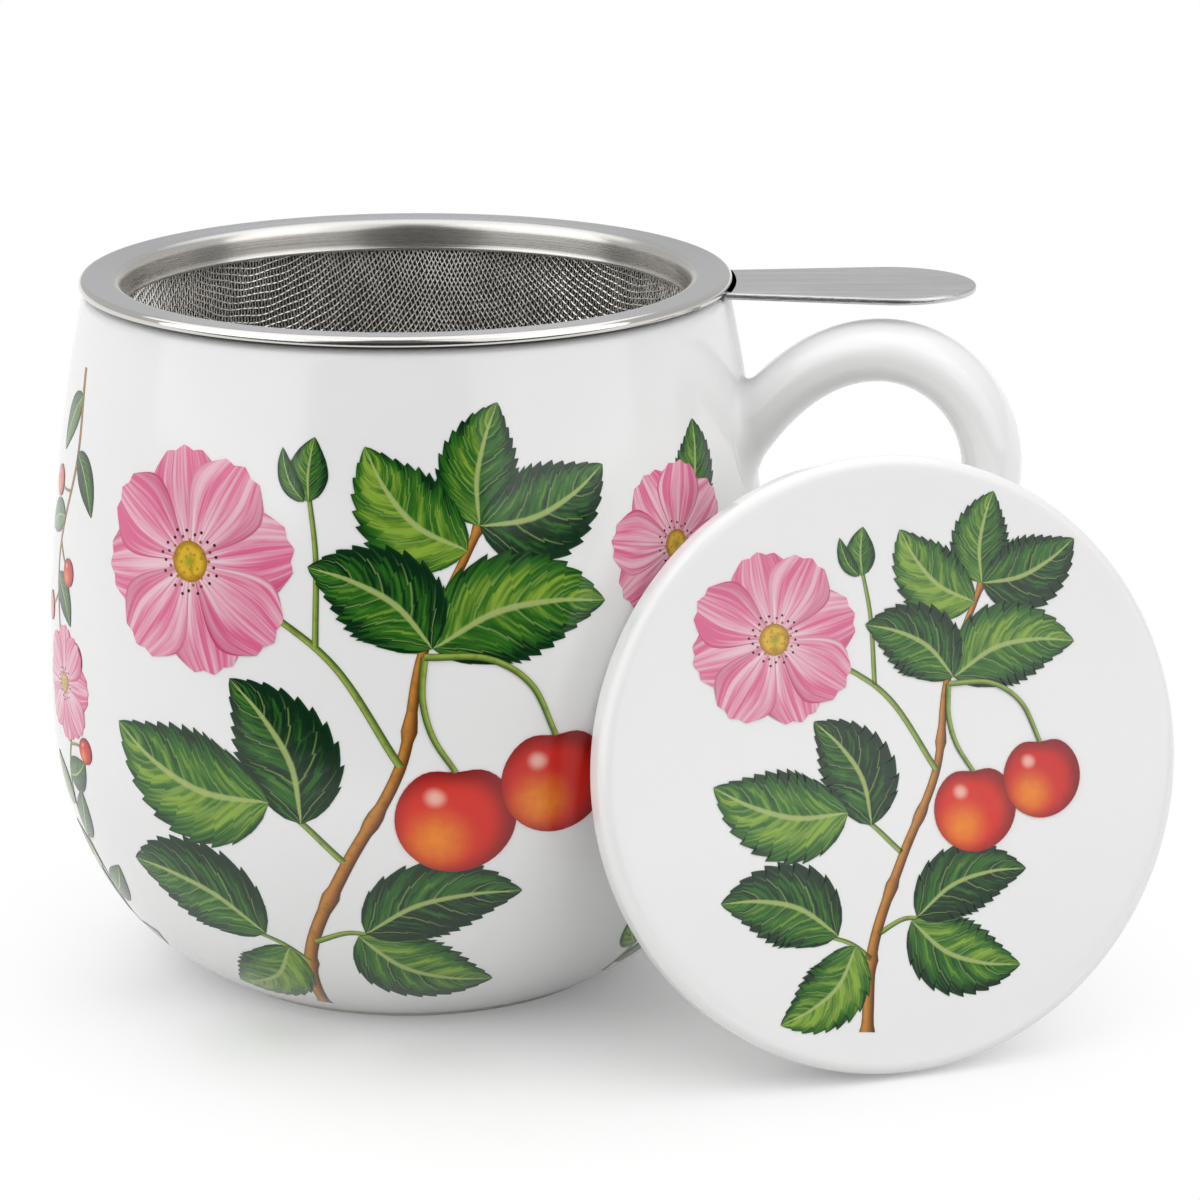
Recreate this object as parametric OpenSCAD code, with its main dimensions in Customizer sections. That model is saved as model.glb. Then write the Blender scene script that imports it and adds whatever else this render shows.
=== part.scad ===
// Lidded tea mug with a lift-out infuser.
// A bellied porcelain mug carries a luted ear handle. A stainless infuser hangs by its rolled rim on
// the mug's lip: a spun flange and collar, a deep-drawn mesh basket held by a clamp band, and a lifting
// tab. The flat porcelain lid has a locating ring underneath that drops into the infuser's collar. Here
// it is off the mug, and stands on its edge leaning on the handle.
// Millimetres. The origin is the middle of the foot, +Z is the mug's axis, and +X points to the tab.

/* [Mug] */
// Height of the mug to the top of its lip
mug_h = 92.6; // [86:0.2:100]
// Largest radius of the belly
belly_r = 48.5; // [46:0.5:54]
// Height of the widest place of the belly
belly_z = 37; // [33:0.5:42]
// Radius of the long curve from the belly up to the lip
flank_arc_r = 260; // [210:10:340]
// Radius of the curve that starts under the belly
under_arc_r = 49; // [46:1:56]
// Height where the curve under the belly tightens towards the foot
heel_z = 15; // [13:0.5:18]
// Radius of the tighter curve above the foot
heel_arc_r = 32; // [30:0.5:35]
// Thickness of the wall, which the lip rounds off
wall = 3.5; // [3.2:0.1:4]
// Thickness of the bottom above its recess
bottom_t = 4; // [3:0.25:6]

/* [Foot] */
// Width of the ring that the mug stands on
foot_w = 2.8; // [2:0.1:4]
// Depth of the recess inside the foot ring
foot_recess = 1.6; // [1:0.1:2.5]
// Height of the unglazed step at the foot
foot_step = 0.6; // [0.4:0.1:1.2]

/* [Handle] */
// Direction of the handle round the mug's axis, in degrees
handle_turn = -10; // [-12:1:-4]
// How far the top of the handle lies below the mug's lip
handle_drop = 2.8; // [1.6:0.2:8]
// How far the handle reaches out past the belly
handle_out = 33.1; // [30:0.2:38]
// How far out past the belly the handle is highest
handle_peak_out = 14.9; // [12:0.2:17]
// How far below its top the handle reaches out the most
handle_bend_drop = 18.8; // [16:0.2:24]
// Height at which the lower arm runs into the mug
handle_low_z = 29; // [26:0.5:36]
// Thickness of the handle in the plane of its loop
handle_t = 7.7; // [6.5:0.1:9]
// Width of the handle across its loop
handle_w = 12.6; // [10:0.2:15]
// Extra half thickness where the clay flares out to meet the wall
handle_flare = 2.6; // [1.5:0.1:3]

/* [Infuser] */
// How far the rim's rolled edge reaches past the outside of the mug's lip
rim_over = 0.18; // [0.1:0.01:1]
// Radius of the rolled edge
bead_r = 0.8; // [0.6:0.05:0.9]
// Thickness of the rim's sheet
sheet_t = 0.6; // [0.4:0.05:0.7]
// Slope of the flange down towards the opening, in degrees
flange_slope = 3.5; // [1:0.5:7]
// Radius of the bend from the flange into the collar
collar_bend_r = 0.8; // [0.6:0.1:1.2]
// Play between the collar and the mouth of the mug
collar_play = 1.32; // [1.25:0.01:2.5]
// Depth of the collar below the lip
collar_h = 2.8; // [2.6:0.1:5]
// Depth of the mesh basket below the lip
basket_h = 57.6; // [48:0.5:64]
// How much narrower the basket is at its bottom than at its top
basket_taper = 2.9; // [0.5:0.1:6]
// Radius of the bend between the basket's wall and its bottom
basket_bend_r = 15; // [10:0.5:18]
// Radius of the dome of the basket's bottom
basket_dome_r = 110; // [80:5:160]
// Thickness of the woven mesh
mesh_t = 0.45; // [0.35:0.05:0.5]
// Thickness of the band that clamps the mesh to the collar
band_t = 0.4; // [0.3:0.05:0.5]
// Height of the clamp band
band_h = 1.9; // [1.4:0.1:2.1]

/* [Lifting tab] */
// Length of the tab past the rim
tab_l = 32; // [25:0.5:40]
// Half the width of the tab at the rim
tab_root_w = 8; // [6:0.25:9]
// Radius of the tab's rounded end
tab_end_r = 11; // [9:0.25:13]
// Thickness of the tab's sheet
tab_t = 0.9; // [0.7:0.05:1.1]
// Direction of the tab round the mug's axis, in degrees
tab_turn = -2; // [-8:1:6]

/* [Lid] */
// How far the lid's edge stays inside the edge of the rim
lid_inset = 3.9; // [2:0.1:5]
// Thickness of the lid's plate
lid_t = 5; // [4:0.25:6]
// Radius of the rounding round the lid's upper face
lid_edge_r = 1.6; // [0.8:0.1:1.9]
// Radius of the rounding round the lid's underside
lid_under_r = 1; // [0.6:0.1:1.4]
// Depth of the ring under the lid that drops into the collar
lid_ring_h = 5; // [3.5:0.1:6]
// Width of that ring
lid_ring_w = 3.2; // [2.4:0.1:4]
// Play of the ring in the collar
lid_play = 0.5; // [0.3:0.1:1]

/* [Standing lid] */
// Direction that the standing lid faces, turned from straight ahead, in degrees
lid_turn = 18.8; // [17:0.2:22]
// How far the standing lid leans back, in degrees
lid_lean = 11.8; // [11:0.2:15]
// How far the lid stands to the side of the mug's axis, along its own face
lid_side = 46.2; // [44:0.2:50]

/* [Hidden] */
$fn = 128;

seat_gap = 0.1; // between pieces that only rest on each other
lean_gap = 0.3; // between the lid and the handle that it leans on

porcelain = [0.94, 0.94, 0.93];
polished_steel = [0.74, 0.74, 0.75];
brushed_steel = [0.64, 0.65, 0.67];
wire_mesh = [0.44, 0.42, 0.40];

// ---- Curves that several pieces share ----

function polar(a) = [cos(a), sin(a)];

// Points on an arc about c, without the first one where it repeats the end of the arc before
function arc(c, r, a0, a1, n, from = 0) =
    [for (i = [from : n]) c + r * polar(a0 + (a1 - a0) * i / n)];

// Outline between two curves that run side by side, such as the two faces of a sheet
function between(a, b) = concat(a, [for (i = [len(b) - 1 : -1 : 0]) b[i]]);

module spin(outline) {
    rotate_extrude() polygon(outline);
}

// ---- Mug: two long arcs meet level at the belly, and a tighter one turns in to the foot ----

lip_r = wall / 2;
flank_c = [belly_r - flank_arc_r, belly_z];
lip_a = asin((mug_h - lip_r - belly_z) / (flank_arc_r - lip_r));
lip_c = flank_c + (flank_arc_r - lip_r) * polar(lip_a);

under_c = [belly_r - under_arc_r, belly_z];
heel_a = -asin((belly_z - heel_z) / under_arc_r);
heel_c = under_c + (under_arc_r - heel_arc_r) * polar(heel_a);
foot_a = -asin((heel_c[1] - foot_step) / heel_arc_r);
foot_edge = heel_c + heel_arc_r * polar(foot_a);
foot_r = foot_edge[0] - foot_step;

// Inside, the wall keeps its thickness down to the heel, then one arc runs level into the bottom
floor_z = foot_recess + bottom_t;
inner_under_r = under_arc_r - wall;
inner_heel_top = under_c[1] + inner_under_r * sin(heel_a);
inner_heel_r = (inner_heel_top - floor_z) / (1 + sin(heel_a));
inner_heel_c = under_c + (inner_under_r - inner_heel_r) * polar(heel_a);

outer_curve = concat(
    arc(heel_c, heel_arc_r, foot_a, heel_a, 14),
    arc(under_c, under_arc_r, heel_a, 0, 9, 1),
    arc(flank_c, flank_arc_r, 0, lip_a, 12, 1)
);
inner_curve = concat(
    arc(flank_c, flank_arc_r - wall, lip_a, 0, 12),
    arc(under_c, inner_under_r, 0, heel_a, 9, 1),
    arc(inner_heel_c, inner_heel_r, heel_a, -90, 16, 1)
);
foot_curve = [
    [0, foot_recess],
    [foot_r - foot_w - foot_recess / 2, foot_recess],
    [foot_r - foot_w, 0],
    [foot_r, 0],
];

module mug_body() {
    color(porcelain)
        spin(concat(foot_curve, outer_curve, arc(lip_c, lip_r, lip_a, lip_a + 180, 14, 1),
            inner_curve, [[0, floor_z]]));
}

// The mug as it would be with no hollow, which trims the ends of the handle
module mug_outside() {
    spin(concat([[0, 0], [foot_r, 0]], outer_curve, [[0, outer_curve[len(outer_curve) - 1][1]]]));
}

// Radius of the mug's outside at a height
function outside_r(z) =
    z > belly_z ? flank_c[0] + sqrt(pow(flank_arc_r, 2) - pow(z - flank_c[1], 2)) :
    z > heel_z ? under_c[0] + sqrt(pow(under_arc_r, 2) - pow(z - under_c[1], 2)) :
    heel_c[0] + sqrt(pow(heel_arc_r, 2) - pow(z - heel_c[1], 2));

// ---- Handle: one clay strap lofted along two curves that meet upright at the outer bend ----

handle_top = mug_h - handle_drop;
handle_bend_z = handle_top - handle_bend_drop;
loop_top = [belly_r + handle_peak_out, handle_top - handle_t / 2];
loop_out = [belly_r + handle_out - handle_t / 2, handle_bend_z];
upper_sink = [5.6, 4.9]; // how far in and down the upper end starts, before the wall trims it
lower_sink = 7; // how far in the lower end runs, before the wall trims it
upper_root = [outside_r(handle_bend_z), handle_bend_z] - upper_sink;
lower_root = [outside_r(handle_low_z) - lower_sink, handle_low_z];

// The curves' control points, as shares of the width and height between the crest and the bend
loop_w = loop_out[0] - loop_top[0];
loop_h = loop_top[1] - loop_out[1];
neck_pull = loop_h * [0.5, 1.03]; // the upper arm leaves the wall steeply
crest_pull = [loop_w * 0.48, 0]; // and comes level at its crest
round_pull = 0.55; // makes a quarter of an oval
belly_pull = [0, loop_h]; // below the bend the arm swings down
arm_pull = [loop_w * 1.5, loop_h * 0.38]; // and runs in to the wall nearly level

handle_spans = [
    [upper_root, upper_root + neck_pull, loop_top - crest_pull, loop_top],
    [loop_top, loop_top + [loop_w * round_pull, 0], loop_out + [0, loop_h * round_pull], loop_out],
    [loop_out, loop_out - belly_pull, lower_root + arm_pull, lower_root],
];

function bezier(p, t) =
    pow(1 - t, 3) * p[0] + 3 * pow(1 - t, 2) * t * p[1] + 3 * (1 - t) * t * t * p[2] + pow(t, 3) * p[3];
function bezier_dir(p, t) =
    let (d = pow(1 - t, 2) * (p[1] - p[0]) + 2 * (1 - t) * t * (p[2] - p[1]) + t * t * (p[3] - p[2]))
    d / norm(d);

strap_steps = 16; // rings along each span
strap_sides = 28; // points round each ring
strap_square = 0.88; // below 1, fuller than an ellipse

// The strap swells as it nears the wall, and most of the swelling is within this distance of it
flare_reach = 2.4;
function flare(p) = handle_flare * exp(-max(0, p[0] - outside_r(p[1])) / flare_reach);

function rounded(v) = sign(v) * pow(abs(v), strap_square);
function strap_ring(p, d) = [
    for (i = [0 : strap_sides - 1])
        let (
            a = 360 * i / strap_sides,
            u = (handle_t / 2 + flare(p)) * rounded(cos(a)),
            v = (handle_w / 2 + flare(p)) * rounded(sin(a))
        )
        [p[0] + d[1] * u, v, p[1] - d[0] * u]
];
strap_rings = concat(
    [for (s = handle_spans, i = [0 : strap_steps - 1])
        strap_ring(bezier(s, i / strap_steps), bezier_dir(s, i / strap_steps))],
    [strap_ring(bezier(handle_spans[2], 1), bezier_dir(handle_spans[2], 1))]
);

module loft(rings) {
    n = len(rings[0]);
    last = len(rings) - 1;
    polyhedron(
        points = [for (r = rings, p = r) p],
        faces = concat(
            [[for (i = [n - 1 : -1 : 0]) i]],
            [for (k = [0 : last - 1], i = [0 : n - 1])
                each [
                    [k * n + i, k * n + (i + 1) % n, (k + 1) * n + (i + 1) % n],
                    [k * n + i, (k + 1) * n + (i + 1) % n, (k + 1) * n + i],
                ]],
            [[for (i = [0 : n - 1]) last * n + i]]
        ),
        convexity = 6
    );
}

module mug_handle() {
    color(porcelain)
        difference() {
            rotate([0, 0, handle_turn]) loft(strap_rings);
            mug_outside();
        }
}

// ---- Infuser: it hangs by its flange on the crest of the lip ----

rim_r = lip_c[0] + lip_r + rim_over;
function flange_z(r) = mug_h + seat_gap + sheet_t / 2 + (r - lip_c[0]) * tan(flange_slope);
bead_lift = bead_r / 2; // the edge is rolled a little above the flange
bead_c = [rim_r - bead_r, flange_z(rim_r - bead_r) + bead_lift];
collar_out_r = lip_c[0] - lip_r - collar_play;
collar_r = collar_out_r - sheet_t;
collar_mid_r = collar_r + sheet_t / 2;
collar_end_z = mug_h - collar_h;

bend_c = [
    collar_mid_r + collar_bend_r,
    flange_z(collar_mid_r + collar_bend_r) - collar_bend_r / cos(flange_slope),
];
// A face of the sheet, o from its middle: down the flange, round the bend and down the collar
function rim_face(o) = concat(
    [[bead_c[0], flange_z(bead_c[0]) + o / cos(flange_slope)]],
    arc(bend_c, collar_bend_r + o, 90 + flange_slope, 180, 8),
    [[collar_mid_r - o, collar_end_z]]
);

module infuser_rim() {
    color(polished_steel)
        rotate_extrude() {
            polygon(between(rim_face(sheet_t / 2), rim_face(-sheet_t / 2)));
            translate(bead_c) circle(bead_r, $fn = 32);
        }
}

// The mesh runs up outside the collar, and the band presses it on
mesh_mid_r = collar_out_r + mesh_t / 2;
band_z = collar_end_z;

module infuser_clamp_band() {
    color(polished_steel)
        translate([0, 0, band_z])
            difference() {
                cylinder(h = band_h, r = collar_out_r + mesh_t + band_t);
                translate([0, 0, -1]) cylinder(h = band_h + 2, r = collar_out_r + mesh_t);
            }
}

// Basket: a slightly tapered wall runs tangent into the bend, and the bend into the shallow dome
basket_low_z = mug_h - basket_h;
mesh_straight = 1; // the mesh runs straight on below the collar
basket_bend_x = mesh_mid_r - basket_taper - basket_bend_r;
dome_a = asin(basket_bend_x / (basket_dome_r - basket_bend_r));
dome_c = [0, basket_low_z + basket_dome_r];
basket_bend_c = dome_c + (basket_dome_r - basket_bend_r) * [sin(dome_a), -cos(dome_a)];
mesh_top = [mesh_mid_r, collar_end_z - mesh_straight];
to_top = mesh_top - basket_bend_c;
wall_a = atan2(to_top[1], to_top[0]) - acos(basket_bend_r / norm(to_top));
function basket_face(o) = concat(
    [[mesh_mid_r + o, band_z + band_h], mesh_top + [o, 0]],
    arc(basket_bend_c, basket_bend_r + o, wall_a, dome_a - 90, 12),
    arc(dome_c, basket_dome_r + o, dome_a - 90, -90, 6, 1)
);

module infuser_mesh_basket() {
    color(wire_mesh) spin(between(basket_face(mesh_t / 2), basket_face(-mesh_t / 2)));
}

// Tab: a tongue that widens to a round end, welded to the underside of the rolled edge
tab_drop = bead_r * 0.45; // from the middle of the rolled edge down to the tab's upper face
tab_lap = bead_r * 0.32; // the tab's root lies this far in under the rolled edge
tab_z = bead_c[1] - tab_drop;
tab_end_x = rim_r + tab_l - tab_end_r;
tab_root_r = rim_r - tab_lap;
tab_spread = tab_end_x - tab_root_r;
tab_side_a = 90 + asin((tab_end_r - tab_root_w) / norm([tab_spread, tab_end_r - tab_root_w]));

tab_outline = concat(
    [[0, -tab_root_w], [tab_root_r, -tab_root_w]],
    arc([tab_end_x, 0], tab_end_r, -tab_side_a, tab_side_a, 36),
    [[tab_root_r, tab_root_w], [0, tab_root_w]]
);

module infuser_tab() {
    color(brushed_steel)
        rotate([0, 0, tab_turn])
            difference() {
                translate([0, 0, tab_z - tab_t]) linear_extrude(tab_t) polygon(tab_outline);
                translate([0, 0, tab_z - tab_t - 1]) cylinder(h = tab_t + 2, r = tab_root_r);
                rotate_extrude() translate(bead_c) circle(bead_r, $fn = 32);
            }
}

// ---- Lid: a turned plate with rounded edges and a ring under it ----

lid_r = rim_r - lid_inset;
lid_ring_r = collar_r - lid_play;
ring_round_r = lid_ring_w / 4;

module lid_section() {
    difference() {
        square([lid_r, lid_t]);
        translate([lid_r - lid_edge_r, lid_t - lid_edge_r]) square(lid_edge_r + 1);
        translate([lid_r - lid_under_r, -1]) square([lid_under_r + 1, lid_under_r + 1]);
    }
    translate([lid_r - lid_edge_r, lid_t - lid_edge_r]) circle(lid_edge_r, $fn = 48);
    translate([lid_r - lid_under_r, lid_under_r]) circle(lid_under_r, $fn = 48);
}

module ring_section() {
    translate([lid_ring_r - lid_ring_w, ring_round_r - lid_ring_h])
        square([lid_ring_w, lid_ring_h - ring_round_r]);
    translate([lid_ring_r - lid_ring_w + ring_round_r, -lid_ring_h])
        square([lid_ring_w - 2 * ring_round_r, lid_ring_h]);
    for (r = [lid_ring_r - ring_round_r, lid_ring_r - lid_ring_w + ring_round_r])
        translate([r, ring_round_r - lid_ring_h]) circle(ring_round_r, $fn = 48);
}

// Height of the middle of the standing lid's underside, when its lower edge is on the table
lid_z = (lid_r - lid_under_r) * cos(lid_lean) - lid_under_r * sin(lid_lean) + lid_under_r;

// Seen from above, u runs along the lid's face and w towards the side that it faces. The lid leans on
// whichever comes first, the belly or the handle: each place behind it asks for its own distance.
function lid_covers(u, z, r) = norm([u - lid_side, (z - lid_z) / cos(lid_lean)]) < r;
function off_for(w, z, back) = w + (back + lean_gap) / cos(lid_lean) + (z - lid_z) * tan(lid_lean);

// The rim of the ring under the lid passes the round of the belly
belly_asks = [
    for (a = [90 : 5 : 270])
        let (
            u = lid_side + lid_ring_r * cos(a),
            z = lid_z + lid_ring_r * sin(a) * cos(lid_lean) - lid_ring_h * sin(lid_lean),
            r = outside_r(z)
        )
        if (abs(u) < r) off_for(sqrt(r * r - u * u), z, lid_ring_h)
];
// The near side of the strap, at each place along its outer curve
strap_off = lid_turn - handle_turn;
strap_side = norm([handle_t / 2 * sin(strap_off), handle_w / 2 * cos(strap_off)]);
handle_asks = [
    for (t = [0 : 0.04 : 1])
        let (
            p = bezier(handle_spans[2], t),
            u = p[0] * cos(strap_off),
            w = p[0] * sin(strap_off) + strap_side
        )
        if (lid_covers(u, p[1], lid_r))
            off_for(w, p[1], lid_covers(u, p[1], lid_ring_r) ? lid_ring_h : 0)
];
lid_off = max(concat(belly_asks, handle_asks));

module lid() {
    color(porcelain)
        rotate([0, 0, lid_turn])
            translate([lid_side, -lid_off, lid_z])
                rotate([90 - lid_lean, 0, 0])
                    rotate_extrude() {
                        lid_section();
                        ring_section();
                    }
}

mug_body();
mug_handle();
infuser_rim();
infuser_clamp_band();
infuser_mesh_basket();
infuser_tab();
lid();
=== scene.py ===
import bmesh
import bpy
import numpy as np
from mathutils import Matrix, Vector


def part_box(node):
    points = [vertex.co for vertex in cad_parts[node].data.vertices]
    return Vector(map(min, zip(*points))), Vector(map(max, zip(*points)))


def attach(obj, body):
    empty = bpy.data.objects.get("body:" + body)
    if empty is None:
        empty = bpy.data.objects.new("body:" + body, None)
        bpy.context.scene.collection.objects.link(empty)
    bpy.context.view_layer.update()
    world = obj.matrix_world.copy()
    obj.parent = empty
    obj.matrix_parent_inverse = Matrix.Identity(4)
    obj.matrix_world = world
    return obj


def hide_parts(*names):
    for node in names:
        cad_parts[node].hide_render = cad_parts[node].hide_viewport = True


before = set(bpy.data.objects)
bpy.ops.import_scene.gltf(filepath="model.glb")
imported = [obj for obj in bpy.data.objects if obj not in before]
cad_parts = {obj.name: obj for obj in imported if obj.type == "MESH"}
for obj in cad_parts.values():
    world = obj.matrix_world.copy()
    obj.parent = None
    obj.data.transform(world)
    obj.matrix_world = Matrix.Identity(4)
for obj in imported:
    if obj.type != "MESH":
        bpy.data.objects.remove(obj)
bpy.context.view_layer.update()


# ---- Mug body ----
# The porcelain body, cast and turned: one long curve from the lip down to the belly, a tighter one under
# it, a third that turns in to the foot, and a foot ring. It is glazed white all over, except for the ring
# that it stands on, which is wiped bare so that it doesn't stick to the kiln shelf.
mug_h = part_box("mug_body")[1].z
belly_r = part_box("mug_body")[1].x
belly_z = 0.037
flank_arc_r = 0.260
under_arc_r = 0.049
heel_z = 0.015
heel_arc_r = 0.032
wall = 0.0035
bottom_t = 0.004
foot_w = 0.0028
foot_recess = 0.0016
foot_step = 0.0006
recess_round = 0.0005
ring_in_round = 0.0003
ring_out_round = 0.0002
step_lead = 0.0001
bare_ring_z = 0.0005


def toward(angle):
    """The unit vector (cos, sin) of an angle in degrees."""
    return np.array([np.cos(np.radians(angle)), np.sin(np.radians(angle))])


def arc(centre, radius, start, end, count):
    """Points on a circle's arc: centre + radius * (cos a, sin a), with a from start to end in degrees."""
    a = np.radians(np.linspace(start, end, count))
    return np.asarray(centre) + radius * np.stack([np.cos(a), np.sin(a)], axis=1)


def rounded(corners, count=7):
    """A path through corners given as (x, z, radius). At a corner with a radius, the arc that touches both
    straight runs takes its place: its centre is on the half-angle line, radius / sin(half angle) away."""
    place = np.array([c[:2] for c in corners])
    path = [place[:1]]
    share = np.linspace(0, 1, count)[:, None]
    for before, here, after, corner in zip(place, place[1:], place[2:], corners[1:]):
        back = (before - here) / np.linalg.norm(before - here)
        on = (after - here) / np.linalg.norm(after - here)
        half = np.arccos(np.clip(back @ on, -1, 1)) / 2
        middle = here + (back + on) / np.linalg.norm(back + on) * corner[2] / np.sin(half)
        first = here + back * corner[2] / np.tan(half) - middle
        last = here + on * corner[2] / np.tan(half) - middle
        turn = np.pi - 2 * half
        swung = np.sin((1 - share) * turn) * first + np.sin(share * turn) * last
        path.append(middle + swung / np.sin(turn))
    return np.concatenate(path + [place[-1:]])


def evenly(path, step):
    """Adds points along a path so that no run is longer than step."""
    runs = np.linalg.norm(np.diff(path, axis=0), axis=1)
    parts = np.maximum(1, np.ceil(runs / step)).astype(int)
    start = np.repeat(np.arange(len(runs)), parts)
    share = np.concatenate([np.arange(n) / n for n in parts])[:, None]
    return np.concatenate([path[start] * (1 - share) + path[start + 1] * share, path[-1:]])


def turned(profile, sides):
    """A surface of revolution: the profile's point (r, z) becomes the ring (r cos a, r sin a, z)."""
    a = np.linspace(0, 2 * np.pi, sides, endpoint=False)
    r, z = profile[:, :1], profile[:, 1:]
    return np.stack([r * np.cos(a), r * np.sin(a), z + 0 * a], axis=2)


def quads_of(rows, columns, close_rows=False, close_columns=True):
    """The quads between neighbours in a grid of points, which may close on itself either way."""
    index = np.arange(rows * columns).reshape(rows, columns)
    if close_rows:
        index = np.concatenate([index, index[:1]])
    if close_columns:
        index = np.concatenate([index, index[:, :1]], axis=1)
    around = [index[:-1, :-1], index[:-1, 1:], index[1:, 1:], index[1:, :-1]]
    return np.stack(around, axis=2).reshape(-1, 4)


def make_piece(name, points, faces, material, corner_uv=None, crease=35, tones=None):
    """A mesh object of points and faces in metres. Points that coincide, as at a pole, are merged. Edges
    sharper than crease, in degrees, stay sharp, and the rest is shaded smooth. corner_uv holds the place
    on the pattern for every corner of every face, and tones one number for every point."""
    mesh = bpy.data.meshes.new(name)
    mesh.from_pydata(points.reshape(-1, 3).tolist(), [], [list(f) for f in faces])
    if corner_uv is not None:
        mesh.uv_layers.new(name="UVMap").data.foreach_set("uv", corner_uv.astype(np.float32).ravel())
    if tones is not None:
        mesh.attributes.new("tone", "FLOAT", "POINT").data.foreach_set("value", tones.astype(np.float32))
    shape = bmesh.new()
    shape.from_mesh(mesh)
    bmesh.ops.remove_doubles(shape, verts=shape.verts, dist=1e-8)
    shape.to_mesh(mesh)
    shape.free()
    mesh.shade_smooth()
    mesh.set_sharp_from_angle(angle=np.radians(crease))
    mesh.materials.append(material)
    made = bpy.data.objects.new(name, mesh)
    bpy.context.scene.collection.objects.link(made)
    return made


class Field:
    """What a node gives: a number, a colour or a place, which may differ all over a surface. On numbers
    the signs + - * / and ** and abs() add Math nodes."""

    def __init__(self, socket):
        self.socket = socket
        self.tree = socket.id_data

    def math(self, operation, *others):
        """One sum on this number and others, such as MAXIMUM."""
        return node(self.tree, "Math", enumerate((self, *others)), operation=operation)

    def __add__(self, other):
        return self.math("ADD", other)

    def __sub__(self, other):
        return self.math("SUBTRACT", other)

    def __rsub__(self, other):
        return self.math("MULTIPLY_ADD", -1.0, other)

    def __mul__(self, other):
        return self.math("MULTIPLY", other)

    def __truediv__(self, other):
        return self.math("DIVIDE", other)

    def __pow__(self, other):
        return self.math("POWER", other)

    def __abs__(self):
        return self.math("ABSOLUTE")


def feed(made, sockets):
    """Sets a node's inputs, each to a plain value or to a field."""
    for key, value in dict(sockets).items():
        if isinstance(value, Field):
            value.tree.links.new(value.socket, made.inputs[key])
        else:
            made.inputs[key].default_value = value


def node(tree, kind, sockets=(), output=0, **settings):
    """Adds a node, sets its inputs, and gives one of its outputs."""
    made = tree.nodes.new("ShaderNode" + kind)
    for key, value in settings.items():
        setattr(made, key, value)
    feed(made, sockets)
    return Field(made.outputs[output])


def new_material(name):
    """A material that holds a Principled shader. Returns it, the shader and each point's own place."""
    made = bpy.data.materials.new(name)
    made.use_nodes = True
    place = node(made.node_tree, "TexCoord", output="Object")
    return made, made.node_tree.nodes["Principled BSDF"], place


def parts_of(vector):
    """The three numbers that a place consists of."""
    split = node(vector.tree, "SeparateXYZ", {0: vector}).socket.node
    return [Field(socket) for socket in split.outputs]


def length_of(x, y):
    """The distance sqrt(x x + y y) from the middle."""
    return (x * x + y * y).math("SQRT")


def noise(place, scale, detail):
    """Cloudy noise from 0 to 1, with about scale clouds to the unit of place."""
    return node(place.tree, "TexNoise", {"Vector": place, "Scale": scale, "Detail": detail}, "Fac")


def between(value, low, high, to_low=0.0, to_high=1.0):
    """A number that runs from to_low to to_high, with soft ends, as value runs from low to high."""
    sockets = enumerate((value, low, high, to_low, to_high))
    return node(value.tree, "MapRange", sockets, interpolation_type="SMOOTHSTEP")


def blend(factor, a, b):
    """The colour a where factor is 0, and b where it is 1."""
    return node(factor.tree, "Mix", {0: factor, 6: a, 7: b}, 2, data_type="RGBA")


def bump(height, strength, distance):
    """Rises and hollows up to distance metres deep, which only the shine shows."""
    return node(height.tree, "Bump", {"Height": height, "Strength": strength, "Distance": distance})


def glaze(name, bare_below=None):
    """Clear glossy glaze over white porcelain. Its tint drifts a little, as the glaze lies thicker or
    thinner, and long soft ripples a few microns high break the reflections. Below bare_below it is bare."""
    material, shader, place = new_material(name)
    cloud = noise(place, 45.0, 3.0)
    tint = blend(cloud, (0.900, 0.905, 0.900, 1), (0.930, 0.932, 0.925, 1))
    gloss = between(cloud, 0.3, 0.7, 0.09, 0.14)
    ripple = noise(place, 2600.0, 2.0) * 0.03 + noise(place, 90.0, 1.0)
    if bare_below is not None:
        bare = between(parts_of(place)[2], bare_below + 0.0001, bare_below)
        tint = blend(bare, tint, (0.74, 0.71, 0.66, 1))
        gloss = bare * 0.6 + gloss
    feed(shader, {"Base Color": tint, "Roughness": gloss, "Normal": bump(ripple, 0.25, 0.00004)})
    return material


lip_r = wall / 2
flank_c = np.array([belly_r - flank_arc_r, belly_z])
lip_a = np.degrees(np.arcsin((mug_h - lip_r - belly_z) / (flank_arc_r - lip_r)))
lip_c = flank_c + (flank_arc_r - lip_r) * toward(lip_a)
under_c = np.array([belly_r - under_arc_r, belly_z])
heel_a = -np.degrees(np.arcsin((belly_z - heel_z) / under_arc_r))
heel_c = under_c + (under_arc_r - heel_arc_r) * toward(heel_a)
foot_a = -np.degrees(np.arcsin((heel_c[1] - foot_step) / heel_arc_r))
foot_edge = heel_c + heel_arc_r * toward(foot_a)
foot_r = foot_edge[0] - foot_step
foot_in_r = foot_r - foot_w

floor_z = foot_recess + bottom_t
inner_under_r = under_arc_r - wall
inner_heel_r = (under_c[1] + inner_under_r * toward(heel_a)[1] - floor_z) / (1 + toward(heel_a)[1])
inner_heel_c = under_c + (inner_under_r - inner_heel_r) * toward(heel_a)

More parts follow.
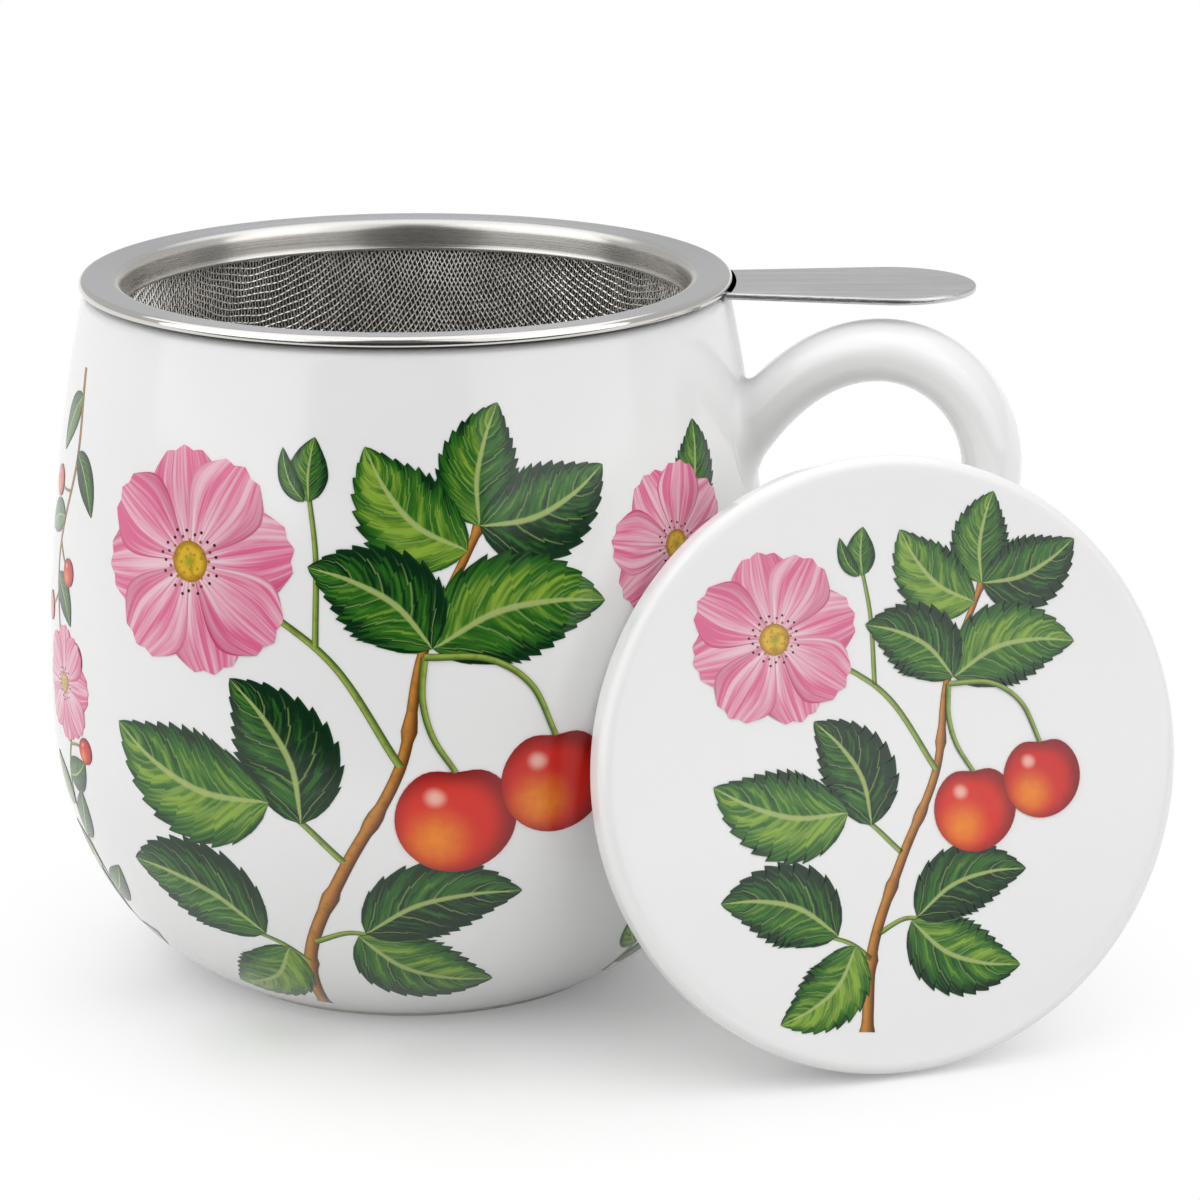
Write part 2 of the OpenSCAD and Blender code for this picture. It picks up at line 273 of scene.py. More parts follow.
foot_path = rounded([
    (0, foot_recess, 0), (foot_in_r - foot_recess / 2, foot_recess, recess_round),
    (foot_in_r, 0, ring_in_round), (foot_r, 0, ring_out_round),
    (foot_r, foot_step * 0.7, ring_out_round), (foot_edge[0] - step_lead, foot_step, step_lead / 2),
    tuple(foot_edge + [0, step_lead]),
])
outer_path = np.concatenate([
    arc(heel_c, heel_arc_r, foot_a, heel_a, 40),
    arc(under_c, under_arc_r, heel_a, 0, 32)[1:],
    arc(flank_c, flank_arc_r, 0, lip_a, 60)[1:],
])
lip_path = arc(lip_c, lip_r, lip_a, lip_a + 180, 16)[1:-1]
inner_path = np.concatenate([
    arc(flank_c, flank_arc_r - wall, lip_a, 0, 30),
    arc(under_c, inner_under_r, 0, heel_a, 20)[1:],
    arc(inner_heel_c, inner_heel_r, heel_a, -90, 30)[1:],
])
body_profile = np.concatenate([foot_path[:-1], outer_path[1:], lip_path, inner_path, [[0, floor_z]]])
body_rings = turned(evenly(body_profile, step=0.002), sides=224)
mug_body = make_piece(
    "porcelain_body", body_rings, quads_of(*body_rings.shape[:2]), glaze("body glaze", bare_ring_z)
)
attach(mug_body, "mug")
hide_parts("mug_body")


# ---- Handle ----
# The ear handle, pressed in its own mould and luted on to the leather-hard body with slip. Its strap is
# a flattened oval that follows three curves, and the potter's sponge has smoothed it into the wall with
# a fillet, so that the glaze runs from one to the other.
handle_turn = -10
handle_drop = 0.0028
handle_out = 0.0331
handle_peak_out = 0.0149
handle_bend_drop = 0.0188
handle_low_z = 0.029
handle_t = 0.0077
handle_w = 0.0126
upper_root_in = 0.0056
upper_root_drop = 0.0049
lower_root_in = 0.007
fillet_r = 0.0022
root_inside = 0.0009
strap_square = 0.88
strap_thinned = 5


def outside_r(z):
    """Radius of the mug's outside at a height, read off the outer curve."""
    return np.interp(z, outer_path[:, 1], outer_path[:, 0])


def bezier(p, t):
    """Cubic Bezier curve through four control points, and its unit direction, at the values t."""
    t = np.asarray(t)[:, None]
    p = np.asarray(p)
    at = (1 - t) ** 3 * p[0] + 3 * (1 - t) ** 2 * t * p[1] + 3 * (1 - t) * t**2 * p[2] + t**3 * p[3]
    run = (1 - t) ** 2 * (p[1] - p[0]) + 2 * (1 - t) * t * (p[2] - p[1]) + t**2 * (p[3] - p[2])
    return at, run / np.linalg.norm(run, axis=1, keepdims=True)


def turn_about_z(points, degrees):
    """Points turned about the Z axis."""
    c, s = toward(degrees)
    return points @ np.array([[c, s, 0], [-s, c, 0], [0, 0, 1]])


handle_top = mug_h - handle_drop
bend_z = handle_top - handle_bend_drop
loop_top = np.array([belly_r + handle_peak_out, handle_top - handle_t / 2])
loop_out = np.array([belly_r + handle_out - handle_t / 2, bend_z])
loop_w, loop_h = loop_out[0] - loop_top[0], loop_top[1] - loop_out[1]
upper_root = np.array([outside_r(bend_z) - upper_root_in, bend_z - upper_root_drop])
lower_root = np.array([outside_r(handle_low_z) - lower_root_in, handle_low_z])
# Each span is four control points. The shares of the loop's width and height set how full its bend is.
spans = [
    (upper_root, upper_root + loop_h * np.array([0.5, 1.03]), loop_top - [loop_w * 0.48, 0], loop_top),
    (loop_top, loop_top + [loop_w * 0.55, 0], loop_out + [0, loop_h * 0.55], loop_out),
    (loop_out, loop_out - [0, loop_h], lower_root + [loop_w * 1.5, loop_h * 0.38], lower_root),
]
fine = np.linspace(0, 1, 240)
line, heading = (np.concatenate(part) for part in zip(*(bezier(s, fine) for s in spans)))
around = np.radians(np.linspace(0, 360, 56, endpoint=False))
across = np.sign(np.cos(around)) * np.abs(np.cos(around)) ** strap_square * handle_t / 2
sideways = np.sign(np.sin(around)) * np.abs(np.sin(around)) ** strap_square * handle_w / 2


def wall_gap(points):
    """How far points lie outside the mug's wall, straight out from its axis."""
    return np.hypot(points[..., 0], points[..., 1]) - outside_r(points[..., 2])


def root(strap, lead_in=9):
    """The end of the strap that begins inside the wall, from its first free ring inwards: some rings that
    lead in, then the fillet. Each long line of the strap is followed to where it is a given distance off
    the wall, and from there pushed away from the ring's middle, along the wall, so that the two together
    make a quarter circle: the distance is fillet_r (1 - sin a) and the push fillet_r (1 - cos a)."""
    gap = wall_gap(strap)
    free = int(np.argmax(gap.min(axis=1) > fillet_r))
    a = np.radians(np.append(np.linspace(0, 90, 12), 90))[:, None]
    level = fillet_r * (1 - np.sin(a))
    level[-1] = -root_inside
    lines = range(strap.shape[1])
    at = np.stack([np.interp(level[:, 0], gap[:free + 1, k], np.arange(free + 1)) for k in lines], axis=1)
    steps = np.linspace(0, 1, lead_in, endpoint=False)[:, None]
    at = np.concatenate([free + (at[0] - free) * steps, at])
    low = np.minimum(at.astype(int), len(strap) - 2)
    share = (at - low)[..., None]
    rings = strap[low, lines] * (1 - share) + strap[low + 1, lines] * share
    foot = rings[lead_in:]
    out = foot - foot.mean(axis=1, keepdims=True)
    radial = foot * [1, 1, 0] / np.hypot(foot[..., :1], foot[..., 1:2])
    out -= radial * (out * radial).sum(axis=-1, keepdims=True)
    out /= np.linalg.norm(out, axis=-1, keepdims=True)
    foot = foot + out * fillet_r * (1 - np.cos(a))[..., None]
    foot[..., :2] *= ((outside_r(foot[..., 2]) + level) / np.hypot(foot[..., 0], foot[..., 1]))[..., None]
    return np.concatenate([rings[:lead_in], foot]), free


plain_strap = np.stack([
    line[:, :1] + heading[:, 1:] * across, 0 * line[:, :1] + sideways, line[:, 1:] - heading[:, :1] * across
], axis=2)
upper_end, first_free = root(plain_strap)
lower_end, last_free = root(plain_strap[::-1])
free_rings = plain_strap[first_free:-last_free][strap_thinned - 1:1 - strap_thinned:strap_thinned]
strap = np.concatenate([upper_end[::-1], free_rings, lower_end])
ends = np.arange(strap.shape[1])
handle_faces = [*quads_of(*strap.shape[:2]), ends[::-1], ends + strap.shape[1] * (len(strap) - 1)]
mug_handle = make_piece(
    "ear_handle", turn_about_z(strap, handle_turn), handle_faces, glaze("handle glaze"), crease=80
)
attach(mug_handle, "mug")
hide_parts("mug_handle")


# ---- Printed design on the mug ----
# Ceramic colours, printed on transfer sheets, slid on to the glaze and fired in: cherry branches, vines and
# small sprays. Each motif is a skin a few hundredths of a millimetre proud of the glaze, with its underside
# sunk in it. Places on the sheet are in millimetres: x round the mug, y up along its outside from the foot.
sheet_mm = 0.001
girth_r = 0.046
first_lift = 0.000022
layer_lift = 0.000014
print_sunk = 0.00008


def lengths(path):
    """The length along a path at each of its points."""
    return np.concatenate([[0], np.cumsum(np.linalg.norm(np.diff(path, axis=0), axis=1))])


def along(profile, run):
    """The points (r, z) at the lengths run along a profile, and the unit normals (dz, -dr) there."""
    length = lengths(profile)
    slope = np.gradient(profile, length, axis=0)
    r, z, dr, dz = (np.interp(run, length, a[:, k]) for a in (profile, slope) for k in (0, 1))
    size = np.hypot(dr, dz)
    return r, z, dz / size, -dr / size


def on_mug(sheet, lift):
    """Puts points of the sheet on the mug: x becomes an angle, y a length along the outer curve, and lift
    goes along the surface's normal."""
    angle = sheet[..., 0] * sheet_mm / girth_r - np.pi / 2
    r, z, out_r, out_z = along(outer_path, sheet[..., 1] * sheet_mm)
    r, z = r + lift * out_r, z + lift * out_z
    return np.stack([r * np.cos(angle), r * np.sin(angle), z], axis=-1)


def through(points, count):
    """A smooth line through points, its left-hand normals and its directions: on each run between two
    points, the cubic whose directions at the ends follow the points on either side."""
    p = np.array(points, float)
    p = np.concatenate([2 * p[:1] - p[1:2], p, 2 * p[-1:] - p[-2:-1]])
    t = np.linspace(0, len(points) - 1, count)
    k = np.minimum(t.astype(int), len(points) - 2)
    u = (t - k)[:, None]
    a, b, c, d = p[k], p[k + 1], p[k + 2], p[k + 3]
    line = b + u * (c - a) / 2 + u**2 * (a - 2.5 * b + 2 * c - d / 2) + u**3 * (1.5 * (b - c) + (d - a) / 2)
    run = np.gradient(line, axis=0)
    run /= np.linalg.norm(run, axis=1, keepdims=True)
    return line, np.stack([-run[:, 1], run[:, 0]], axis=1), run


def motif(kind, grid, pattern, tone, layer):
    """A printed shape: its kind of ink, a grid of sheet points, the pattern's own coordinates there, a
    tone from 0 to 1, and its layer, where a higher one lies over a lower one."""
    return {"kind": kind, "grid": grid, "pattern": pattern, "tone": tone, "layer": layer}


def strip(line, left, half_width, t, columns):
    """A grid along a line: across it, s runs from 1 on the left to -1 on the right, times half_width. With
    it comes its pattern, which is s and t at each point."""
    s = np.linspace(1, -1, columns)
    grid = line[:, None] + left[:, None] * (half_width[:, None] * s)[..., None]
    return grid, np.stack(np.broadcast_arrays(s, t[:, None]), axis=-1)


def stem(points, thick, thin, tone=0.0, layer=0, knots=0):
    """A stem from thick to thin millimetres wide. With knots, the width swells by 0.35 thick times
    cos(2 pi knots t)^8 wherever that cosine is above 0, as a twig's does."""
    count = 10 * len(points)
    line, left, _ = through(points, count)
    t = np.linspace(0, 1, count)
    width = thick + (thin - thick) * t
    if knots:
        width += thick * 0.35 * np.maximum(0, np.cos(2 * np.pi * knots * t)) ** 8
    return motif("stems", *strip(line, left, width / 2, t, 5), tone, layer)


def leaf(base, tip, width, bend=0.1, tone=0.5, layer=3, teeth=11):
    """A leaf: its half width is sin(pi t^0.72)^0.85 along the midrib, which bends sideways by that share of
    its length. As each saw tooth rises, the edge goes out by up to 0.13 of the half width, and forwards."""
    base, tip = np.array(base, float), np.array(tip, float)
    aside = np.array([base[1] - tip[1], tip[0] - base[0]]) * bend
    middle = [base, base + (tip - base) * 0.36 + aside, base + (tip - base) * 0.7 + aside * 0.8, tip]
    phase = np.array([0, 0.35, 0.7, 0.98])
    steps = max(teeth, 6)
    t = np.append(((np.arange(steps)[:, None] + phase) / steps).ravel(), 1)
    saw = np.append(np.tile(phase, steps), 0) * (teeth > 0)
    whole = np.linspace(0, 1, 200)
    line, left, run = (
        np.stack([np.interp(t, whole, a[:, k]) for k in (0, 1)], axis=1) for a in through(middle, 200)
    )
    half = width / 2 * np.sin(np.pi * t**0.72) ** 0.85
    grid, pattern = strip(line, left, half * (1 + 0.13 * saw), t, 13)
    length = np.linalg.norm(tip - base)
    forward = np.abs(pattern[..., 0]) ** 5 * (saw * half / width)[:, None] * length * 0.07
    return motif("leaves", grid + run[:, None] * forward[..., None], pattern, tone, layer)


def dot(kind, centre, radius, tone=0.0, layer=6, rows=19, columns=13, dimple=0.0):
    """A round shape: the chords of a circle at y, whose ends are at x = sqrt(1 - y^2) either way, with an
    optional dimple pressed in at the top."""
    y = -np.cos(np.linspace(0, np.pi, rows))[:, None]
    x = np.linspace(-1, 1, columns) * np.sqrt(np.maximum(0, 1 - y**2))
    pressed = y - dimple * np.exp(-(x / 0.4) ** 2) * ((y + 1) / 2) ** 4
    grid = np.array(centre) + radius * np.stack([x, pressed], axis=-1)
    return motif(kind, grid, np.stack([x, y + 0 * x], axis=-1), tone, layer)


def cherry(centre, radius, knot, tone, layer, swing):
    """A cherry with its stem, which swings out from the knot on the twig and down into the dimple."""
    top = np.array(centre) + [0, radius * 0.84]
    knot = np.array(knot, float)
    aside = np.array([knot[1] - top[1], top[0] - knot[0]]) * swing
    stalk = [knot, (knot * 2 + top) / 3 + aside, (knot + top * 2) / 3 + aside, top]
    return [
        stem(stalk, 0.9, 0.7, 0.15, layer + 2),
        dot("fruit", centre, radius, tone, layer, 23, 15, 0.16),
    ]


def blossom(centre, radius, petals=8, turn=0.0, layer=3, tone=0.5):
    """A daisy seen from the front. A petal's half width goes as 0.18 + 0.82 sin(pi/2 min(1, 1.25 t))^1.3,
    and a little narrower again at its end, where (1 - 0.9 s^2 + 0.16 cos 3 pi s) t^7 adds three blunt
    teeth. Every other petal lies over its neighbours. The pollen dots follow the golden angle."""
    made = []
    t = np.linspace(0, 1, 18)
    for k in range(petals):
        along = toward(turn + 360 * k / petals + 4 * np.sin(2.4 * k))
        reach = radius * (1 + 0.05 * np.sin(3.1 * k))
        line = np.array(centre) + along * (0.1 + 0.86 * t[:, None]) * reach
        left = np.broadcast_to(np.array([-along[1], along[0]]), line.shape)
        half = reach * 3.5 / petals * (0.18 + 0.82 * np.sin(np.pi / 2 * np.minimum(1, t * 1.25)) ** 1.3)
        half *= 1 - 0.25 * np.clip((t - 0.72) / 0.28, 0, 1) ** 2
        grid, pattern = strip(line, left, half, t, 13)
        s = pattern[..., 0]
        end = (1 - 0.9 * s**2 + 0.16 * np.cos(3 * np.pi * s)) * t[:, None] ** 7 * reach * 0.14
        over = layer + k % 2 + (k == petals - 1)
        made.append(motif("petals", grid + along * end[..., None], pattern, (tone + 0.37 * k) % 1, over))
    made.append(dot("eyes", centre, radius * 0.2, tone, layer + 3))
    count = int(26 + 2 * radius)
    for k in range(count):
        out = radius * 0.34 * np.sqrt((k + 0.5) / count)
        spot = np.array(centre) + out * toward(137.5 * k)
        made.append(dot("dots", spot, radius * 0.017, k / count, layer + 4, 4, 3))
    return made


def sprig(points, leaf_l, leaf_w, tones, berries, brown, pairs):
    """A slim stem with small plain leaves by turns on either side of it, and berries on short stalks. A
    berry is given by how far up the stem it grows, its side (1 is left), and its radius."""
    line, left, run = through(points, 60)
    made = [stem(points, 0.7, 0.35, brown, 2)]
    for k in range(pairs):
        at = int(6 + 50 * k / pairs)
        side = 1 if k % 2 else -1
        out = run[at] * 0.72 + left[at] * side * 0.7
        tip = line[at] + out * leaf_l * (1 - 0.06 * k)
        made.append(leaf(line[at], tip, leaf_w, 0.08 * side, tones[k % 2], 3 + k % 2, 0))
    for share, side, size in berries:
        at = int(59 * share)
        spot = line[at] + left[at] * side * size * 2.6 + run[at] * size
        made.append(stem([line[at], (line[at] + spot) / 2 + run[at] * 0.4, spot], 0.4, 0.3, 0.6, 3))
        made.append(dot("fruit", spot, size, 0.3 + 0.4 * share, 5, 13, 9))
    return made


def cherry_branch():
    """The large spray, about 72 mm wide and 87 mm high, with its foot near the sheet's origin."""
    made = [
        stem([(-10, 0), (-8, 14), (-2, 28), (5, 42), (8, 57), (15, 72)], 2.1, 1.0, 1.0, 2, 6),
        stem([(-8.5, 12), (-12, 15), (-17, 17)], 0.9, 0.6, 0.2, 2),
        stem([(-7, 16), (-2, 18), (3, 17)], 0.9, 0.6, 0.2, 2),
        stem([(-2, 29), (-8, 35), (-14, 38)], 0.9, 0.6, 0.2, 2),
        *cherry((11.5, 35), 7.3, (8, 56), 0.35, 8, -0.10),
        *cherry((23.8, 39), 6.9, (8, 56), 0.7, 10, 0.2),
        stem([(5, 42), (-3, 55), (-14, 63)], 1.0, 0.8, 0.1, 3),
        *blossom((-22, 66), 13.0, 8, 12, 6, 0.4),
        stem([(-5, 57), (-5, 68), (-6, 76)], 0.8, 0.6, 0.1, 3),
    ]
    leaves = [
        ((-14, 16.5), (-34, 24), 13, -0.12, 0.3, 3),
        ((-11, 14.5), (-25, 3), 10.5, 0.14, 0.75, 4),
        ((-1, 17.5), (18, 8), 12, -0.12, 0.55, 3),
        ((0, 18), (20, 24), 11, 0.12, 0.15, 4),
        ((-11, 36.5), (-34, 43), 14, 0.1, 0.65, 5),
        ((-7, 34), (-16, 52), 12, -0.12, 0.12, 3),
        ((9, 57), (-6, 67), 11.5, -0.12, 0.3, 6),
        ((9, 57), (31, 61), 13, 0.12, 0.6, 5),
        ((13.5, 69), (1, 82), 11, 0.12, 0.75, 5),
        ((15, 72), (32, 78), 11.5, -0.1, 0.2, 4),
        ((15, 72), (18, 87), 9.5, 0.08, 0.5, 3),
        ((-6, 75), (-5.4, 83), 5.2, 0.05, 0.5, 4, 0),
        ((-6.6, 75), (-9.6, 81.5), 2.6, 0.1, 0.3, 6, 0),
    ]
    return made + [leaf(*row) for row in leaves]


def blossom_twig():
    """A small spray with one blossom and three leaves, about 30 mm each way, that grows from the right."""
    return [
        stem([(12, -14), (6, -11), (1, -4), (0, 0)], 1.1, 0.8, 0.4, 2),
        leaf((7, -11.5), (-5, -22), 9.5, 0.1, 0.3, 3),
        leaf((5, -9), (15, 2), 8.5, 0.12, 0.7, 4),
        leaf((1, 5), (5, 17), 8, -0.1, 0.45, 3),
        *blossom((-1, 2), 9.5, 8, 30, 5, 0.2),
    ]


def placed(motifs, dx=0.0, dy=0.0, scale=1.0, flip=False):
    """Motifs scaled, moved and, if asked, mirrored left to right, with each grid's columns turned round so
    that its face still points out."""
    made = []
    for m in motifs:
        grid = m["grid"] * [-scale if flip else scale, scale] + [dx, dy]
        pattern = m["pattern"]
        if flip:
            grid, pattern = grid[:, ::-1], pattern[:, ::-1]
        made.append({**m, "grid": grid, "pattern": pattern})
    return made


def fire(prefix, motifs, on_surface, body):
    """Makes one piece of all motifs in the same ink. Each grid becomes a closed skin: its face, then the
    underside back across, then an end row at half height at both ends, where the two sides meet. A row
    that is a single point, such as a leaf's tip, stays at the face's height on both sides."""
    for kind, colour in inks.items():
        points, faces, corners, tones, start = [], [], [], [], 0
        for m in (m for m in motifs if m["kind"] == kind):
            lift = first_lift + layer_lift * m["layer"]
            grid = np.concatenate([m["grid"], m["grid"][:, ::-1]], axis=1)
            pattern = np.concatenate([m["pattern"], m["pattern"][:, ::-1]], axis=1)
            rows, columns = grid.shape[:2]
            heights = np.full((rows, columns), lift)
            heights[:, columns // 2:] = -print_sunk
            grid, pattern, heights = (np.concatenate([a[:1], a, a[-1:]]) for a in (grid, pattern, heights))
            heights[[0, -1]] = (lift - print_sunk) / 2
            heights[np.ptp(grid, axis=1).max(axis=1) < 1e-6] = lift
            quads = quads_of(rows + 2, columns)
            points.append(on_surface(grid, heights).reshape(-1, 3))
            faces.append(quads + start)
            corners.append(pattern.reshape(-1, 2)[quads])
            tones.append(np.full(heights.size, m["tone"]))
            start += heights.size
        if points:
            made = make_piece(
                f"{prefix}_{kind}", np.concatenate(points), np.concatenate(faces), colour,
                np.concatenate(corners) * 0.5 + 0.5, 60, np.concatenate(tones)
            )
            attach(made, body)


def place_of(x, y, z):
    """The place that three numbers make."""
    return node(x.tree, "CombineXYZ", enumerate((x, y, z)))


def near(x, y, spot, low, high):
    """From 0 to 1 as the distance from a spot of the pattern goes from low to high."""
    return between(length_of(x - spot[0], y - spot[1]), low, high)


def leaf_colour(s, t, tone, grain):
    """Leaf greens, darker at the edge and on one half, with a paler midrib and side veins. A side vein
    runs where climb = 4.5 t - 1.5 |s|^1.3 is whole, and it is lighter between two of them."""
    out = abs(s)
    climb = t * 4.5 - out**1.3 * 1.5
    away = abs((climb + 20.0).math("FRACT") - 0.5)
    streak = noise(place_of(climb * 6.0, out * 1.5, tone * 40.0), 1.0, 3.0)
    light = tone * 0.75 + between(streak, 0.3, 0.75, -0.1, 0.38) + between(s, -0.1, 0.1, -0.13, 0.1)
    light = light + between(away, 0.0, 0.5, 0.12, -0.12) + between(out, 0.45, 1.0, 0.0, -0.4)
    green = blend(between(light, 0.0, 0.45), (0.003, 0.028, 0.008, 1), (0.028, 0.145, 0.014, 1))
    green = blend(between(light, 0.4, 1.0), green, (0.270, 0.430, 0.050, 1))
    vein = between(away, 0.44, 0.5) * between(out, 0.95, 0.5) * 0.55
    green = blend(vein, green, (0.30, 0.45, 0.12, 1))
    green = blend(between(out, 0.085, 0.03) * 0.85, green, (0.42, 0.52, 0.17, 1))
    return blend(between(out, 0.93, 0.985) * 0.7, green, (0.008, 0.05, 0.012, 1))


def stem_colour(s, t, tone, grain):
    """Stems go from green to orange-brown with the tone, with a light streak, darker sides and flecks."""
    lit = between(s, -0.9, 0.5)
    green = blend(lit, (0.07, 0.17, 0.02, 1), (0.34, 0.45, 0.09, 1))
    brown = blend(lit, (0.16, 0.045, 0.008, 1), (0.60, 0.25, 0.045, 1))
    mixed = blend(between(tone, 0.4, 0.8), green, brown)
    mixed = blend(between(abs(s), 0.55, 1.0, 0.0, 0.65), mixed, (0.05, 0.05, 0.01, 1))
    return blend(between(grain, 0.45, 0.75, 0.0, 0.35), mixed, (0.09, 0.05, 0.01, 1))


def fruit_colour(x, y, tone, grain):
    """Fruit red, with an orange glow low on the left, a darker rim and a small highlight."""
    red = blend(tone, (0.78, 0.026, 0.006, 1), (0.62, 0.010, 0.007, 1))
    glow = near(x, y, (-0.32, -0.38), 0.75, 0.0) * between(grain, 0.2, 0.8, 0.7, 1.0)
    red = blend(glow, red, (0.95, 0.29, 0.014, 1))
    red = blend(near(x, y, (-0.12, -0.08), 0.62, 1.08) * 0.8, red, (0.16, 0.001, 0.004, 1))
    return blend(near(x, y, (-0.34, 0.42), 0.24, 0.04) * 0.75, red, (1.0, 0.62, 0.5, 1))


def petal_colour(s, t, tone, grain):
    """Petals are nearly white at the heart and pink towards the end, with fine darker streaks along them,
    from noise stretched along t, a soft shadow down one side and a darker edge."""
    streak = noise(place_of(s * 7.0, t * 0.7, tone * 50.0), 1.0, 4.0)
    ripe = between(t, -0.9, 0.9, -0.15, 0.75) + between(streak, 0.3, 0.7, -0.42, 0.42)
    pink = blend(ripe, (0.93, 0.74, 0.79, 1), (0.76, 0.14, 0.30, 1))
    pink = blend(between(t, -0.35, -0.9), pink, (0.92, 0.86, 0.74, 1))
    pink = blend(between(s, -0.35, -1.0, 0.0, 0.55), pink, (0.56, 0.055, 0.17, 1))
    return blend(between(abs(s), 0.9, 1.0, 0.0, 0.6), pink, (0.52, 0.05, 0.15, 1))


def eye_colour(x, y, tone, grain):
    """The daisy's heart: yellow, greener in the middle, browner at its edge and in the grain."""
    off = length_of(x, y)
    yellow = blend(between(off, 0.0, 0.5), (0.35, 0.36, 0.03, 1), (0.78, 0.50, 0.04, 1))
    yellow = blend(between(off, 0.6, 1.0, 0.0, 0.8), yellow, (0.32, 0.13, 0.015, 1))
    return blend(between(grain, 0.5, 0.7, 0.0, 0.6), yellow, (0.25, 0.14, 0.01, 1))


def dot_colour(x, y, tone, grain):
    """Pollen dots: from golden in the middle of the heart to dark brown outside."""
    return blend(between(tone, 0.2, 0.7), (0.55, 0.30, 0.02, 1), (0.055, 0.02, 0.008, 1))


def ink(name, colour):
    """A ceramic ink under clear glaze. Its colour comes from the pattern's own coordinates, which run from
    -1 to 1, from the motif's tone, and from a fine grain."""
    material, shader, place = new_material(name)
    s, t, _ = parts_of(node(place.tree, "UVMap", uv_map="UVMap"))
    tone = node(place.tree, "Attribute", output="Fac", attribute_name="tone")
    grain = noise(place, 900.0, 4.0)
    feed(shader, {
        "Base Color": colour(s * 2.0 - 1.0, t * 2.0 - 1.0, tone, grain),
        "Roughness": between(grain, 0.3, 0.7, 0.09, 0.15), "Normal": bump(grain, 0.15, 0.00002),
    })
    return material


inks = {
    "stems": ink("stem green and brown", stem_colour), "leaves": ink("leaf green", leaf_colour),
    "fruit": ink("fruit red", fruit_colour), "petals": ink("petal pink", petal_colour),
    "eyes": ink("heart yellow", eye_colour), "dots": ink("pollen brown", dot_colour),
}
rising_vine = sprig(
    [(-2, 0), (3, 12), (0, 24), (3, 36)], 11, 5.0, (0.3, 0.65), [(0.5, 1, 1.8), (0.95, -1, 1.8)], 0.0, 7
)
hanging_twig = sprig(
    [(2, 42), (3, 30), (-2, 16), (0, 4)], 10, 4.6, (0.5, 0.2),
    [(0.45, -1, 2.1), (0.62, 1, 1.9), (0.8, -1, 2.0), (0.97, 1, 2.2)], 1.0, 4
)
small_spray = sprig(
    [(0, 0), (2, 12), (-1, 24)], 9, 4.2, (0.3, 0.7), [(0.95, 1, 1.8), (0.7, -1, 1.6)], 0.0, 5
)
mug_prints = [
    *placed(cherry_branch(), -4, 6), *placed(blossom_twig(), 40, 70), *placed(small_spray, 38, 8),
    *placed(rising_vine, -54, 8), *placed(blossom((0, 0), 7.0, 8, 5, 6), -53, 50),
    *placed(hanging_twig, -55, 50),
    *placed(cherry_branch(), -144, 6, 1.0, True), *placed(blossom_twig(), -186, 70, 1.0, True),
    *placed(rising_vine, -95, 8, 1.0, True), *placed(blossom((0, 0), 7.0, 8, 25, 6), -95, 50),
    *placed(hanging_twig, -97, 50, 1.0, True),
    *placed(rising_vine, 95, 10), *placed(small_spray, 68, 4, 0.8),
]
fire("mug_print", mug_prints, on_mug, "mug")


# ---- Infuser rim ----
# Two rings of stainless sheet, spun on a lathe and rolled together at their outer edge. The upper one is a
# flange that slopes down inwards, a tight bend, and a straight collar with a rolled end. The lower one
# follows the bend and rests on the lip. The lathe's abrasive leaves fine lines round them.
rim_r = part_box("infuser_rim")[1].x
bead_r = 0.0008
sheet_t = 0.0006
flange_slope = 3.5
collar_bend_r = 0.0008
upper_bend_r = 0.0014
collar_play = 0.00132
collar_h = 0.0028
collar_roll_r = 0.00034
collar_roll_in = 0.00007
seat_gap = 0.0001
lathe_lines = 6000.0
satin_fade = 0.0008
satin_shine = 0.05
roller_shine = 0.17
# The next two place the painted shade under the rolled edge: how softly it fades, and between which
# distances in from the outer edge it lies.
painted_shade_fade = 0.0001
painted_shade_in = (0.0006, 0.0003)


def spun_steel(name, low, high, roughness, satin=None, painted_shade_below_z=None):
    """Stainless steel with fine lines round its axis: noise on (1.5 cos a + k r, 1.5 sin a, k z), where k
    is lathe_lines, changes fast across the lines and slowly along them. It drives the tint, the gloss and
    a small bump. Between two radii, satin, the sheet is cooler and smoother by satin_shine. From the outer
    one on, the roller has made it smoother by roller_shine. There, below the height that the last argument
    gives, the tint is painted near-black where the two rings meet: painted shade for the dark gap under the
    rolled edge."""
    material, shader, place = new_material(name)
    x, y, z = parts_of(place)
    r = length_of(x, y)
    lines = place_of(x / r * 1.5 + r * lathe_lines, y / r * 1.5, z * lathe_lines)
    fine = noise(lines, 1.0, 4.0)
    tone = noise(lines, 0.22, 2.0) * 0.5 + fine * 0.5
    tint = blend(between(tone, 0.3, 0.7), low, high)
    gloss = between(fine, 0.3, 0.7, roughness - 0.04, roughness + 0.04)
    if satin:
        inner, outer = satin
        ring = between(r, inner, inner + satin_fade) * between(r, outer, outer - satin_fade)
        gloss = gloss - ring * satin_shine - between(r, outer - satin_fade, outer, 0.0, roller_shine)
        tint = blend(ring, tint, blend(tone, (0.58, 0.58, 0.60, 1), (0.72, 0.72, 0.74, 1)))
        # Painted shade: a near-black band low on the rolled edge, for the shadowed gap between it and the
        # lip.
        painted_seam_shade = between(r, outer - painted_shade_in[0], outer - painted_shade_in[1]) * between(z, painted_shade_below_z + painted_shade_fade, painted_shade_below_z)
        tint = blend(painted_seam_shade, tint, (0.03, 0.027, 0.024, 1))
    feed(shader, {
        "Base Color": tint, "Roughness": gloss, "Normal": bump(fine, 0.3, 0.000003), "Metallic": 1.0,
        "Anisotropic": 0.9, "Anisotropic Rotation": 0.25,
        "Tangent": node(place.tree, "Tangent", direction_type="RADIAL", axis="Z"),
    })
    return material


def flange_z(r):
    """Height of the middle of the flange's sheet at a radius."""
    return mug_h + seat_gap + sheet_t / 2 + (r - lip_c[0]) * np.tan(np.radians(flange_slope))


